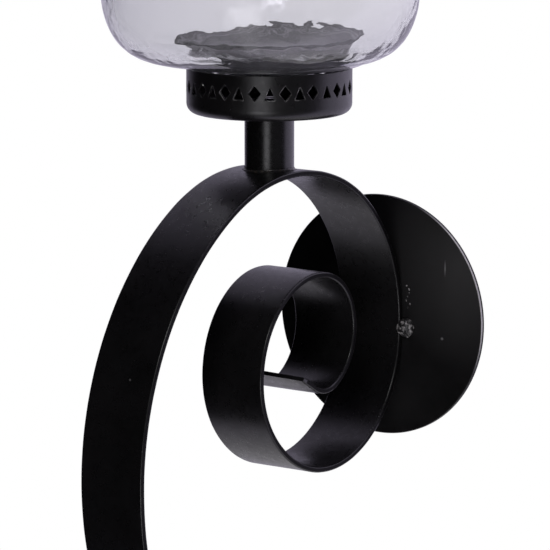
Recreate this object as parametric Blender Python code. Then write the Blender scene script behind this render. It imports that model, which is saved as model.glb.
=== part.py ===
"""Wall sconce candle holder.

A flat bar rolled into a scroll is welded to a round wall plate.  A tube stem stands on the crest
of the scroll and carries a pierced gallery cup.  A blown glass globe sits in the cup's rim, and
a candle pan lies on the floor of the globe.  Both lift straight up.

Frame: metres, +Z up.  The origin is the centre of the wall plate's back face, +Y points into
the wall and the room is on the -Y side.
"""

import math

import bmesh
import bpy
from mathutils import Matrix, Vector

MM = 0.001
GAP = 0.3 * MM              # between two pieces that touch

# Wall plate
PLATE_RADIUS = 65.0 * MM
PLATE_THICKNESS = 2.5 * MM
PLATE_EDGE = 0.5 * MM
KEYHOLE_SPREAD = 90.0 * MM          # between the two keyholes' entry holes
KEYHOLE_ENTRY_RADIUS = 4.5 * MM
KEYHOLE_SLOT_RADIUS = 2.3 * MM
KEYHOLE_SLOT_RUN = 8.0 * MM         # from the entry hole's centre up to the slot's end centre

# Scroll arm, a flat bar rolled in the YZ plane
BAR_WIDTH = 37.6 * MM
BAR_THICKNESS = 3.0 * MM
BAR_EDGE = 0.4 * MM
ARM_X = -3.6 * MM                   # the arm is welded a little to the left of the plate's centre
TOUCH_Z = -2.3 * MM                 # height at which the arm touches the plate
# (radius, sweep in degrees) of each rolled arc, starting at the plate
ARCS_INWARD = ((89.0, 7.9), (64.5, 136.0), (48.6, 135.5), (31.5, 143.6), (18.6, 57.7))
CURL_END = 13.0 * MM                # straight length left at the curl's inner end
ARCS_UPWARD = ((89.0, 65.6), (108.1, 53.7))
TAIL_RADIUS = 147.5 * MM            # the last arc, which runs on down to the wall
DEGREES_PER_STEP = 6.0

# Stem, with a threaded plug in its top
STEM_Y = -98.7 * MM
STEM_RADIUS = 12.7 * MM
STEM_WALL = 1.6 * MM
PLUG_HEIGHT = 12.0 * MM
PLUG_HOLE_RADIUS = 4.2 * MM

# Gallery cup
CUP_BASE_Z = 118.6 * MM
CUP_RADIUS = 42.3 * MM
CUP_HEIGHT = 23.5 * MM
CUP_WALL = 1.2 * MM
CUP_CORNER_RADIUS = 5.3 * MM
CUP_HOLE_RADIUS = 4.5 * MM
PIERCED_PAIRS = 17                  # diamonds, and as many triangles between them
PIERCED_DROP = 9.2 * MM             # from the rim down to the pierced band's middle
PIERCED_TURN = 20.1                 # degrees from +X to the first diamond
DIAMOND_SIZE = (7.0 * MM, 8.6 * MM)
TRIANGLE_SIZE = (6.2 * MM, 7.4 * MM)

# Cup screw and its washer
SCREW_RADIUS = 4.0 * MM
SCREW_LENGTH = 14.0 * MM
SCREW_HEAD_RADIUS = 7.0 * MM
SCREW_HEAD_HEIGHT = 4.4 * MM
SCREW_SOCKET_RADIUS = 2.6 * MM
SCREW_SOCKET_DEPTH = 2.4 * MM
WASHER_RADIUS = 10.0 * MM
WASHER_THICKNESS = 1.5 * MM

# Glass globe: heights are above the cup's rim
GLOBE_DIP = 3.9 * MM                # how far the domed base drops into the cup
GLOBE_WALL = 4.0 * MM
GLOBE_FLOOR = 5.0 * MM
# (radius, sweep in degrees) of the outer profile's arcs, from the axis up to the lip
GLOBE_ARCS = ((230.0, 14.7), (27.5, 46.3), (43.3, 29.0), (200.0, 22.0))
NECK_ARC = (60.0, -28.0)            # hollow curve below the lip
GLOBE_LEAN = Vector((-3.7, -2.7)) * MM      # the blown belly stands off the cup's axis
GLOBE_BASE_RADIUS = 44.0 * MM       # the base within this radius stays on the axis
GLOBE_BELLY_RADIUS = 58.0 * MM      # and the belly from here out has the whole lean

# Candle pan, which lies on the globe's floor
PAN_RADIUS = 48.0 * MM
PAN_FLOOR_RADIUS = 40.0 * MM
PAN_DEPTH = 8.8 * MM
PAN_SEAT_RADIUS = 42.0 * MM         # where the leaning globe's floor is highest under the pan's edge
PAN_THICKNESS = 1.2 * MM
PAN_RIM_RADIUS = 1.0 * MM

# Weld beads
PLATE_BEAD_SIZE = Vector((4.0, 4.0, 5.0)) * MM
PLATE_BEAD_Z = -5.4 * MM
STEM_BEAD_SIZE = 2.2 * MM

ROUND_STEPS = 48
SMALL_ROUND_STEPS = 24

BLACK_PAINT = (0.018, 0.017, 0.019)
PAN_PAINT = (0.26, 0.25, 0.26)
PLATE_PAINT = (0.022, 0.021, 0.022)
WELD_PAINT = (0.045, 0.043, 0.044)
ZINC = (0.52, 0.52, 0.50)
STEEL = (0.35, 0.34, 0.33)
SMOKE_GLASS = (0.84, 0.85, 0.88)


# ---------------------------------------------------------------- general helpers

def clear_scene():
    for item in list(bpy.data.objects):
        bpy.data.objects.remove(item, do_unlink=True)


def make_material(name, color, roughness, metallic=0.0, transmission=0.0):
    material = bpy.data.materials.new(name)
    material.use_nodes = True
    shader = material.node_tree.nodes["Principled BSDF"]
    shader.inputs["Base Color"].default_value = (*color, 1.0)
    shader.inputs["Roughness"].default_value = roughness
    shader.inputs["Metallic"].default_value = metallic
    shader.inputs["Transmission Weight"].default_value = transmission
    return material


def make_object(name, mesh_data, material=None, place=(0.0, 0.0, 0.0)):
    """Turns a bmesh into a named object whose origin is at place."""
    mesh = bpy.data.meshes.new(name)
    bmesh.ops.recalc_face_normals(mesh_data, faces=mesh_data.faces)
    mesh_data.to_mesh(mesh)
    mesh_data.free()
    if material:
        mesh.materials.append(material)
    mesh.shade_smooth()
    mesh.set_sharp_from_angle(angle=math.radians(35))
    result = bpy.data.objects.new(name, mesh)
    result.location = place
    bpy.context.collection.objects.link(result)
    return result


def cut_away(target, cutter):
    """Subtracts cutter from target with a Boolean that stays on the object."""
    cutter.hide_render = True
    cutter.display_type = "WIRE"
    cut = target.modifiers.new(f"cut_{cutter.name}", "BOOLEAN")
    cut.operation = "DIFFERENCE"
    cut.solver = "EXACT"
    cut.object = cutter
    return cut


def join_rings(mesh_data, rings, closed):
    """Bridges each ring of vertices to the next one, and the last to the first if closed."""
    count = len(rings[0])
    pairs = list(zip(rings, rings[1:]))
    if closed:
        pairs.append((rings[-1], rings[0]))
    for ring, following in pairs:
        for i in range(count):
            j = (i + 1) % count
            mesh_data.faces.new((ring[i], ring[j], following[j], following[i]))


def arc_points(start, heading, radius, sweep, step=DEGREES_PER_STEP):
    """Points after start along an arc that turns left for a positive sweep.

    Returns the points as (first, second, heading) with angles in radians.
    """
    side = 1.0 if sweep > 0 else -1.0
    centre_a = start[0] - side * radius * math.sin(heading)
    centre_b = start[1] + side * radius * math.cos(heading)
    count = max(2, math.ceil(abs(math.degrees(sweep)) / step))
    points = []
    for i in range(1, count + 1):
        turn = heading + sweep * i / count
        a = centre_a + side * radius * math.sin(turn)
        b = centre_b - side * radius * math.cos(turn)
        points.append((a, b, turn))
    return points


def lathe(outline, steps=ROUND_STEPS):
    """Closed solid of revolution about Z from a closed outline of (radius, height) points."""
    mesh_data = bmesh.new()
    rings = []
    for i in range(steps):
        angle = 2.0 * math.pi * i / steps
        turned = Matrix.Rotation(angle, 4, "Z")
        rings.append([mesh_data.verts.new(turned @ Vector((r, 0.0, z))) for r, z in outline])
    join_rings(mesh_data, rings, closed=True)
    bmesh.ops.remove_doubles(mesh_data, verts=mesh_data.verts, dist=0.01 * MM)
    return mesh_data


def extruded_outline(outline, depth):
    """Prism of a flat (x, z) outline, from y = -depth / 2 to y = depth / 2."""
    mesh_data = bmesh.new()
    ends = []
    for y in (-depth / 2, depth / 2):
        ends.append([mesh_data.verts.new((x, y, z)) for x, z in outline])
    join_rings(mesh_data, ends, closed=False)
    mesh_data.faces.new(ends[0])
    mesh_data.faces.new(list(reversed(ends[1])))
    return mesh_data


# ---------------------------------------------------------------- wall plate

def keyhole_outline():
    """Entry hole below, narrow slot above, as (x, z) points about the entry hole's centre."""
    half_mouth = math.asin(KEYHOLE_SLOT_RADIUS / KEYHOLE_ENTRY_RADIUS)
    entry_start = math.pi / 2 + half_mouth
    entry_sweep = 2.0 * math.pi - 2.0 * half_mouth
    outline = []
    for i in range(SMALL_ROUND_STEPS + 1):
        angle = entry_start + entry_sweep * i / SMALL_ROUND_STEPS
        outline.append((KEYHOLE_ENTRY_RADIUS * math.cos(angle), KEYHOLE_ENTRY_RADIUS * math.sin(angle)))
    half_steps = SMALL_ROUND_STEPS // 2
    for i in range(half_steps + 1):
        angle = math.pi * i / half_steps
        x = KEYHOLE_SLOT_RADIUS * math.cos(angle)
        z = KEYHOLE_SLOT_RUN + KEYHOLE_SLOT_RADIUS * math.sin(angle)
        outline.append((x, z))
    return outline


def make_wall_plate(material):
    edge = PLATE_EDGE
    outline = [
        (0.0, 0.0),
        (PLATE_RADIUS, 0.0),
        (PLATE_RADIUS, PLATE_THICKNESS - edge),
        (PLATE_RADIUS - edge, PLATE_THICKNESS),
        (0.0, PLATE_THICKNESS),
    ]
    disc = lathe(outline, 2 * ROUND_STEPS)
    bmesh.ops.rotate(disc, verts=disc.verts, cent=(0, 0, 0), matrix=Matrix.Rotation(math.pi / 2, 3, "X"))
    plate = make_object("wall_plate", disc, material)
    for side in (-1, 1):
        keyhole = make_object(f"keyhole_cutter_{side}", extruded_outline(keyhole_outline(), 4 * PLATE_THICKNESS))
        keyhole.location = (ARM_X, 0.0, side * KEYHOLE_SPREAD / 2)
        cut_away(plate, keyhole)
    return plate


# ---------------------------------------------------------------- scroll arm

def arm_centreline():
    """Centreline of the rolled bar as (y, z, heading), from the curl's end to past the wall."""
    touch = (-(PLATE_THICKNESS + GAP + BAR_THICKNESS / 2), TOUCH_Z)
    inward = [(*touch, -math.pi / 2)]
    for radius, sweep in ARCS_INWARD:
        y, z, heading = inward[-1]
        inward += arc_points((y, z), heading, radius * MM, -math.radians(sweep))
    y, z, heading = inward[-1]
    inward.append((y + CURL_END * math.cos(heading), z + CURL_END * math.sin(heading), heading))
    upward = [(*touch, math.pi / 2)]
    for radius, sweep in ARCS_UPWARD:
        y, z, heading = upward[-1]
        upward += arc_points((y, z), heading, radius * MM, math.radians(sweep))
    y, z, heading = upward[-1]
    centre_y = y - TAIL_RADIUS * math.sin(heading)
    wall_heading = math.asin(-centre_y / TAIL_RADIUS)
    overrun = BAR_THICKNESS / TAIL_RADIUS
    tail_sweep = wall_heading + 2.0 * math.pi - heading + overrun
    upward += arc_points((y, z), heading, TAIL_RADIUS, tail_sweep)
    backward = [(y, z, heading + math.pi) for y, z, heading in reversed(inward[1:])]
    return backward + upward


def bar_section(width, thickness, edge):
    """Rectangle with chamfered corners as (across, through) points."""
    a = width / 2
    b = thickness / 2
    return [
        (a, b - edge), (a - edge, b), (edge - a, b), (-a, b - edge),
        (-a, edge - b), (edge - a, -b), (a - edge, -b), (a, edge - b),
    ]


def make_scroll_arm(material):
    mesh_data = bmesh.new()
    rings = []
    for y, z, heading in arm_centreline():
        normal_y = math.sin(heading)
        normal_z = -math.cos(heading)
        ring = []
        for across, through in bar_section(BAR_WIDTH, BAR_THICKNESS, BAR_EDGE):
            place = (ARM_X + across, y + through * normal_y, z + through * normal_z)
            ring.append(mesh_data.verts.new(place))
        rings.append(ring)
    join_rings(mesh_data, rings, closed=False)
    mesh_data.faces.new(rings[0])
    mesh_data.faces.new(list(reversed(rings[-1])))
    everything = mesh_data.verts[:] + mesh_data.edges[:] + mesh_data.faces[:]
    trimmed = bmesh.ops.bisect_plane(
        mesh_data, geom=everything, plane_co=(0, 0, 0), plane_no=(0, 1, 0), clear_outer=True
    )
    rim = [item for item in trimmed["geom_cut"] if isinstance(item, bmesh.types.BMEdge)]
    bmesh.ops.holes_fill(mesh_data, edges=rim, sides=len(rim))
    return make_object("scroll_arm", mesh_data, material)


def crest_height(y, extra=0.0):
    """Height of the arm's outer face under the stem, raised by extra along its radius."""
    radius, centre_y, centre_z = crest_circle()
    reach = radius + extra
    return centre_z + math.sqrt(reach * reach - (y - centre_y) ** 2)


def crest_circle():
    """Radius and centre (y, z) of the arm's outer face at its crest."""
    path_y = -(PLATE_THICKNESS + GAP + BAR_THICKNESS / 2)
    path_z = TOUCH_Z
    heading = math.pi / 2
    first_radius, first_sweep = ARCS_UPWARD[0]
    path_y, path_z, heading = arc_points(
        (path_y, path_z), heading, first_radius * MM, math.radians(first_sweep)
    )[-1]
    radius = ARCS_UPWARD[1][0] * MM
    centre_y = path_y - radius * math.sin(heading)
    centre_z = path_z + radius * math.cos(heading)
    return radius + BAR_THICKNESS / 2, centre_y, centre_z


def make_saddle_cutter(name):
    """Cylinder along X that clears the arm's outer face by the gap."""
    radius, centre_y, centre_z = crest_circle()
    mesh_data = bmesh.new()
    bmesh.ops.create_cone(
        mesh_data, cap_ends=True, segments=6 * ROUND_STEPS,
        radius1=radius + GAP, radius2=radius + GAP, depth=2 * BAR_WIDTH,
        matrix=Matrix.Rotation(math.pi / 2, 4, "Y"),
    )
    return make_object(name, mesh_data, place=(ARM_X, centre_y, centre_z))


# ---------------------------------------------------------------- stem

def make_stem_tube(material):
    base = crest_height(STEM_Y) - 3.0 * MM - CUP_BASE_Z
    top = -GAP
    inner = STEM_RADIUS - STEM_WALL
    tube = lathe([(inner, base), (STEM_RADIUS, base), (STEM_RADIUS, top), (inner, top)])
    stem = make_object("stem_tube", tube, material, (ARM_X, STEM_Y, CUP_BASE_Z))
    cut_away(stem, make_saddle_cutter("stem_saddle_cutter"))
    return stem


def make_stem_plug(material):
    outer = STEM_RADIUS - STEM_WALL - GAP
    top = -GAP
    base = top - PLUG_HEIGHT
    outline = [(PLUG_HOLE_RADIUS, base), (outer, base), (outer, top), (PLUG_HOLE_RADIUS, top)]
    return make_object("stem_plug", lathe(outline, SMALL_ROUND_STEPS), material, (ARM_X, STEM_Y, CUP_BASE_Z))


def make_stem_bead(material):
    """Fillet weld around the foot of the stem."""
    inner = STEM_RADIUS + GAP
    height = crest_height(STEM_Y, GAP)
    drop = 3.0 * MM
    outline = [(inner, -drop), (inner + STEM_BEAD_SIZE, -drop), (inner + STEM_BEAD_SIZE, -0.2 * MM)]
    for i in range(1, 5):
        angle = math.radians(90 * i / 5)
        radius = inner + STEM_BEAD_SIZE * (1 - 0.75 * math.sin(angle))
        outline.append((radius, STEM_BEAD_SIZE * (1 - math.cos(angle)) * 0.9))
    outline.append((inner, STEM_BEAD_SIZE * 0.9))
    bead = make_object("stem_weld", lathe(outline), material, (ARM_X, STEM_Y, height))
    cut_away(bead, make_saddle_cutter("bead_saddle_cutter"))
    return bead


# ---------------------------------------------------------------- gallery cup

def cup_outline():
    inner_corner = CUP_CORNER_RADIUS - CUP_WALL
    outline = [(CUP_HOLE_RADIUS, 0.0), (CUP_RADIUS - CUP_CORNER_RADIUS, 0.0)]
    corner = arc_points(outline[-1], 0.0, CUP_CORNER_RADIUS, math.pi / 2, 15)
    outline += [(r, z) for r, z, _ in corner]
    outline += [(CUP_RADIUS, CUP_HEIGHT), (CUP_RADIUS - CUP_WALL, CUP_HEIGHT)]
    start = (CUP_RADIUS - CUP_WALL, CUP_CORNER_RADIUS)
    outline.append(start)
    corner = arc_points(start, -math.pi / 2, inner_corner, -math.pi / 2, 15)
    outline += [(r, z) for r, z, _ in corner]
    outline.append((CUP_HOLE_RADIUS, CUP_WALL))
    return outline


def piercing_outline(index):
    """Diamond or upright triangle as (across, up) points about the band's middle."""
    if index % 2 == 0:
        width, height = DIAMOND_SIZE
        return [(0, -height / 2), (width / 2, 0), (0, height / 2), (-width / 2, 0)]
    width, height = TRIANGLE_SIZE
    return [(-width / 2, -height / 2), (width / 2, -height / 2), (0, height / 2)]


def make_piercing_cutter():
    """All the punched shapes as one cutter of separate prisms set round the cup."""
    depth = 6.0 * MM
    ring = bmesh.new()
    for index in range(2 * PIERCED_PAIRS):
        prism = extruded_outline(piercing_outline(index), depth)
        turn = math.radians(PIERCED_TURN + 180.0 * index / PIERCED_PAIRS)
        out = Matrix.Rotation(turn - math.pi / 2, 4, "Z") @ Matrix.Translation((0, CUP_RADIUS - CUP_WALL / 2, 0))
        prism.transform(out)
        mesh = bpy.data.meshes.new("piercing")
        prism.to_mesh(mesh)
        prism.free()
        ring.from_mesh(mesh)
        bpy.data.meshes.remove(mesh)
    height = CUP_BASE_Z + CUP_HEIGHT - PIERCED_DROP
    return make_object("piercing_cutter", ring, place=(ARM_X, STEM_Y, height))


def make_gallery_cup(material):
    steps = 4 * PIERCED_PAIRS
    cup = make_object("gallery_cup", lathe(cup_outline(), steps), material, (ARM_X, STEM_Y, CUP_BASE_Z))
    cut_away(cup, make_piercing_cutter())
    return cup


def make_washer(material):
    base = CUP_WALL + GAP
    top = base + WASHER_THICKNESS
    outline = [(CUP_HOLE_RADIUS, base), (WASHER_RADIUS, base), (WASHER_RADIUS, top), (CUP_HOLE_RADIUS, top)]
    return make_object("cup_washer", lathe(outline, SMALL_ROUND_STEPS), material, (ARM_X, STEM_Y, CUP_BASE_Z))


def make_screw(material):
    """Pan-head screw with a hexagon socket, through the cup's floor into the plug."""
    seat = CUP_WALL + WASHER_THICKNESS + 2 * GAP
    top = seat + SCREW_HEAD_HEIGHT
    shoulder = 1.5 * MM
    chamfer = 0.8 * MM
    shank = SCREW_RADIUS - GAP
    outline = [(0.0, seat - SCREW_LENGTH), (shank - chamfer, seat - SCREW_LENGTH)]
    outline += [(shank, seat - SCREW_LENGTH + chamfer), (shank, seat), (SCREW_HEAD_RADIUS, seat)]
    outline += [(SCREW_HEAD_RADIUS, top - 2 * shoulder)]
    outline += [(SCREW_HEAD_RADIUS - 0.4 * shoulder, top - shoulder), (SCREW_HEAD_RADIUS - 1.4 * shoulder, top)]
    outline += [(0.0, top)]
    screw = make_object("cup_screw", lathe(outline, SMALL_ROUND_STEPS), material, (ARM_X, STEM_Y, CUP_BASE_Z))
    socket = bmesh.new()
    bmesh.ops.create_cone(
        socket, cap_ends=True, segments=6, radius1=SCREW_SOCKET_RADIUS,
        radius2=SCREW_SOCKET_RADIUS, depth=2 * SCREW_SOCKET_DEPTH,
    )
    cut_away(screw, make_object("socket_cutter", socket, place=(ARM_X, STEM_Y, CUP_BASE_Z + top)))
    return screw


# ---------------------------------------------------------------- glass globe

def globe_profile():
    """Outer profile of the globe as (radius, height above the cup's rim, heading)."""
    points = [(0.0, GAP - GLOBE_DIP, 0.0)]
    for radius, sweep in GLOBE_ARCS:
        r, z, heading = points[-1]
        points += arc_points((r, z), heading, radius * MM, math.radians(sweep), 7.5)
    r, z, heading = points[-1]
    radius, sweep = NECK_ARC
    points += arc_points((r, z), heading, radius * MM, math.radians(sweep), 7.5)
    return points


def wall_at(heading):
    """Glass thickness, which falls from the floor's to the wall's as the profile turns up."""
    share = min(1.0, max(0.0, math.sin(heading)))
    return GLOBE_FLOOR + (GLOBE_WALL - GLOBE_FLOOR) * share


def globe_outline():
    outer = globe_profile()
    outline = [(r, z) for r, z, _ in outer]
    lip_r, lip_z, lip_heading = outer[-1]
    half = GLOBE_WALL / 2
    across = (-math.sin(lip_heading), math.cos(lip_heading))
    along = (math.cos(lip_heading), math.sin(lip_heading))
    for angle in (45, 90, 135):
        c = half - half * math.cos(math.radians(angle))
        s = half * math.sin(math.radians(angle))
        outline.append((lip_r + c * across[0] + s * along[0], lip_z + c * across[1] + s * along[1]))
    for r, z, heading in reversed(outer):
        wall = wall_at(heading)
        inner_r = max(0.0, r - wall * math.sin(heading))
        outline.append((inner_r, z + wall * math.cos(heading)))
    return outline


def lean_globe(mesh_data):
    """Moves the blown belly off the axis, while the base that sits in the cup stays on it."""
    for vertex in mesh_data.verts:
        radius = math.hypot(vertex.co.x, vertex.co.y)
        growth = (radius - GLOBE_BASE_RADIUS) / (GLOBE_BELLY_RADIUS - GLOBE_BASE_RADIUS)
        growth = min(1.0, max(0.0, growth))
        share = growth * growth * (3.0 - 2.0 * growth)
        vertex.co.x += GLOBE_LEAN.x * share
        vertex.co.y += GLOBE_LEAN.y * share


def make_glass_globe(material):
    mesh_data = lathe(globe_outline())
    lean_globe(mesh_data)
    place = (ARM_X, STEM_Y, CUP_BASE_Z + CUP_HEIGHT)
    return make_object("glass_globe", mesh_data, material, place)


# ---------------------------------------------------------------- candle pan

def pan_outline():
    """Shallow dish with a flared side and a rolled rim, heights from its underside."""
    side = math.atan2(PAN_DEPTH, PAN_RADIUS - PAN_FLOOR_RADIUS)
    through = (-PAN_THICKNESS * math.sin(side), PAN_THICKNESS * math.cos(side))
    rim = (PAN_RADIUS - PAN_RIM_RADIUS, PAN_DEPTH - PAN_RIM_RADIUS)
    outline = [(0.0, 0.0), (PAN_FLOOR_RADIUS, 0.0)]
    for angle in range(-60, 181, 40):
        turn = math.radians(angle)
        outline.append((rim[0] + PAN_RIM_RADIUS * math.cos(turn), rim[1] + PAN_RIM_RADIUS * math.sin(turn)))
    outline.append((PAN_FLOOR_RADIUS + through[0], PAN_THICKNESS))
    outline.append((0.0, PAN_THICKNESS))
    return outline


def globe_floor_height(radius):
    """Height of the globe's inner floor above the cup's rim at a radius."""
    outline = globe_outline()
    inner = list(reversed(outline[len(outline) // 2:]))
    for (r0, z0), (r1, z1) in zip(inner, inner[1:]):
        if r0 <= radius < r1:
            return z0 + (z1 - z0) * (radius - r0) / (r1 - r0)
    return inner[0][1]


def make_candle_pan(material):
    base = CUP_BASE_Z + CUP_HEIGHT + globe_floor_height(PAN_SEAT_RADIUS) + GAP
    return make_object("candle_pan", lathe(pan_outline()), material, (ARM_X, STEM_Y, base))


# ---------------------------------------------------------------- weld beads on the plate

def make_plate_bead(name, side, material):
    """Quarter of a lump of weld, in the corner between the bar's edge and the plate."""
    mesh_data = bmesh.new()
    rings = []
    for latitude in range(-75, 76, 15):
        share = math.cos(math.radians(latitude))
        z = PLATE_BEAD_SIZE.z * math.sin(math.radians(latitude))
        ring = [mesh_data.verts.new((0.0, 0.0, z))]
        for angle in range(0, 91, 15):
            x = side * PLATE_BEAD_SIZE.x * share * math.cos(math.radians(angle))
            y = -PLATE_BEAD_SIZE.y * share * math.sin(math.radians(angle))
            ring.append(mesh_data.verts.new((x, y, z)))
        rings.append(ring)
    join_rings(mesh_data, rings, closed=False)
    mesh_data.faces.new(rings[0])
    mesh_data.faces.new(list(reversed(rings[-1])))
    corner_x = ARM_X + side * (BAR_WIDTH / 2 + GAP)
    corner_y = -(PLATE_THICKNESS + GAP)
    return make_object(name, mesh_data, material, (corner_x, corner_y, PLATE_BEAD_Z))


# ---------------------------------------------------------------- the whole sconce

def main():
    clear_scene()
    make_wall_plate(make_material("plate_paint", PLATE_PAINT, 0.5))
    make_scroll_arm(make_material("arm_paint", BLACK_PAINT, 0.42))
    make_plate_bead("plate_weld_right", 1, make_material("weld_right_paint", WELD_PAINT, 0.35))
    make_plate_bead("plate_weld_left", -1, make_material("weld_left_paint", WELD_PAINT, 0.35))
    make_stem_tube(make_material("stem_paint", BLACK_PAINT, 0.4))
    make_stem_bead(make_material("stem_weld_paint", WELD_PAINT, 0.4))
    make_stem_plug(make_material("plug_steel", STEEL, 0.45, metallic=1.0))
    make_gallery_cup(make_material("cup_paint", BLACK_PAINT, 0.4))
    make_washer(make_material("washer_zinc", ZINC, 0.35, metallic=1.0))
    make_screw(make_material("screw_zinc", ZINC, 0.3, metallic=1.0))
    make_glass_globe(make_material("smoke_glass", SMOKE_GLASS, 0.03, transmission=1.0))
    make_candle_pan(make_material("pan_paint", PAN_PAINT, 0.45))


main()
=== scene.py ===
"""Looks of the wall sconce candle holder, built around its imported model.

A black painted bar rolled into a scroll is welded to a round wall plate.  It carries a tube stem,
a pierced gallery cup and a blown globe of smoke-tinted glass with a candle pan in it.

Frame: metres, +Z up.  The origin is the centre of the wall plate's back face, +Y points into the
wall and the room is on the -Y side.
"""

import math

import bmesh
import bpy
from mathutils import Matrix, Vector, noise


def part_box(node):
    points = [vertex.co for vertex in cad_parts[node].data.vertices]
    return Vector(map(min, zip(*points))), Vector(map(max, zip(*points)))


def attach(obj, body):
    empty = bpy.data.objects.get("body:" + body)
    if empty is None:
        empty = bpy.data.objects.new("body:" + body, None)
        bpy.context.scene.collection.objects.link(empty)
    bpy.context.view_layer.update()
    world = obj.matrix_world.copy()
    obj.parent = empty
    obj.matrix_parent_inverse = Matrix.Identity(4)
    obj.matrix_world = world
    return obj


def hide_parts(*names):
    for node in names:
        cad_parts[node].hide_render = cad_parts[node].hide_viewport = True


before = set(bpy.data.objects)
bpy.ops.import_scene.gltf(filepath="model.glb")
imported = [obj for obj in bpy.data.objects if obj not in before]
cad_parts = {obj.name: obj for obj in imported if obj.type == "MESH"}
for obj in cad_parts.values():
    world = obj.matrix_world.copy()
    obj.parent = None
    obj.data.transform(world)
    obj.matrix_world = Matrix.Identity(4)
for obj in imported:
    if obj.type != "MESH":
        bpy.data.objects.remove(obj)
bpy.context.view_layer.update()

MM = 0.001
X, Y, Z = Vector((1, 0, 0)), Vector((0, 1, 0)), Vector((0, 0, 1))

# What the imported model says: the lowest and highest corners of its pieces
PLATE_LOW, PLATE_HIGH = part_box("wall_plate")
ARM_LOW, ARM_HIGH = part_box("scroll_arm")
STEM_LOW, STEM_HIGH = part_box("stem_tube")
CUP_LOW, CUP_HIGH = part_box("gallery_cup")
GLOBE_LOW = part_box("glass_globe")[0]
PAN_LOW, PAN_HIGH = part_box("candle_pan")

# Wall plate
PLATE_RADIUS = PLATE_HIGH.x
PLATE_FACE_Y = PLATE_LOW.y
PLATE_EDGE = 0.6 * MM
PAINTED_SHEEN = Vector((58.0, 0, 32.0)) * MM        # where the painted sheen on the plate, lighter paint standing in for light, is strongest
PAINTED_SHEEN_REACH = 58.0 * MM
RIM_HIGHLIGHT = PAINTED_SHEEN - Vector((0, 0, 8.0)) * MM     # middle of the stretch of rim that has a painted highlight
RIM_HIGHLIGHT_REACH = 50.0 * MM
PLATE_NICK = Vector((40.0 * MM, PLATE_FACE_Y, -9.0 * MM))
PLATE_SCRATCH = Vector((41.6 * MM, PLATE_FACE_Y, 29.0 * MM))
KEYHOLE_SPREAD = 90.0 * MM          # from one keyhole to the other, both behind the arm
KEYHOLE_ENTRY_RADIUS = 4.5 * MM
KEYHOLE_SLOT_RADIUS = 2.3 * MM
KEYHOLE_SLOT_RUN = 8.0 * MM

# Scroll arm
ARM_X = (ARM_LOW.x + ARM_HIGH.x) / 2
BAR_WIDTH = ARM_HIGH.x - ARM_LOW.x
BAR_THICKNESS = 3.0 * MM
BAR_EDGE = 0.8 * MM
BAR_SPANS = 10                      # faces across the bar's width
PLATE_GAP = 0.3 * MM                # left between the bar and the plate, bridged by the welds
TOUCH_Y = PLATE_FACE_Y - PLATE_GAP - BAR_THICKNESS / 2
TOUCH_Z = -2.3 * MM                 # height at which the bar is welded to the plate
# (radius in mm, sweep in degrees) of each rolled arc from there: down into the curl, and up over
# the crest, where the tail's long arc takes over and comes back down to the wall
ARCS_INWARD = ((89.0, 7.9), (64.5, 136.0), (48.6, 135.5), (31.5, 143.6), (18.6, 57.7))
ARCS_UPWARD = ((89.0, 65.6), (108.1, 53.7))
TAIL_RADIUS = 147.5 * MM
CURL_END = 13.0 * MM                # straight length left at the curl's inner end
CURL_END_SKEW = 3.0 * MM            # how much longer the bar is there at its -X side
ROLLING_WOBBLE = 0.16 * MM
NICK_LOW = Vector((0.8, -220.7, 0.2)) * MM      # nick in the paint of the big arc
NICK_CURL = Vector((4.8, -124.7, 4.6)) * MM     # and one in that of the curl
NICK_RADIUS = 0.7 * MM

# Stem, with the weld round its foot
STEM_AXIS = Vector((ARM_X, (STEM_LOW.y + STEM_HIGH.y) / 2, 0))
STEM_RADIUS = (STEM_HIGH.x - STEM_LOW.x) / 2
STEM_WALL = 1.6 * MM
FOOT_WELD = 1.2 * MM                # leg of the fillet

# Welds on the plate, and the drops of spatter above the near one
BEAD_SIZE = Vector((5.2, 3.6, 5.0)) * MM
BEAD_SINK = 0.2 * MM                # how far a bead is set in towards the bar
BEAD_STAND = 1.2 * MM               # how far its middle stands off the plate
SPATTER_DROPS = 7
SPATTER_SIZE = 0.75 * MM
SPATTER_X = 18.5 * MM
SPATTER_LOW = 5.5 * MM              # height of the lowest drop
SPATTER_RUN = 12.0 * MM             # from the lowest drop to the highest

# Gallery cup
CUP_RADIUS = (CUP_HIGH.x - CUP_LOW.x) / 2
CUP_HEIGHT = CUP_HIGH.z - CUP_LOW.z
CUP_WALL = 1.2 * MM
CUP_CORNER = 5.3 * MM
CUP_HOLE_RADIUS = 4.5 * MM
PIERCED_PAIRS = 17                  # a diamond and a triangle each
PIERCED_DROP = 9.2 * MM             # from the cup's rim down to the middle of the band
PIERCED_TURN = 20.1                 # where the first diamond is, in degrees
DIAMOND_SIZE = Vector((6.6, 8.3)) * MM
TRIANGLE_SIZE = Vector((6.0, 7.0)) * MM
PUNCH_DRIFT = 1.3                   # degrees by which a punched shape may sit off its place
GLINT_AZIMUTH = 26.0               # the side, towards the key lamp, on which the punched edges get a painted highlight
GLINT_REACH = 42.0 * MM

# Globe: (radius in mm, sweep in degrees) of the outer profile's arcs from the axis up to the lip
GLOBE_ARCS = ((230.0, 14.7), (27.5, 46.3), (43.3, 29.0), (200.0, 22.0), (60.0, -28.0))
GLOBE_LEAN = Vector((-3.7, -2.7, 0)) * MM
GLOBE_BASE_RADIUS = 44.0 * MM
GLOBE_BELLY_RADIUS = 58.0 * MM
GLOBE_ROW = 1.8 * MM                # longest face up the glass
GLASS_WALL = 4.6 * MM
GLASS_FLOOR = 5.0 * MM
THICK_SIDE = Vector((-0.81, -0.58, 0))      # the side on which the blown wall is thickest
THICK_EXTRA = 1.2 * MM
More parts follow.
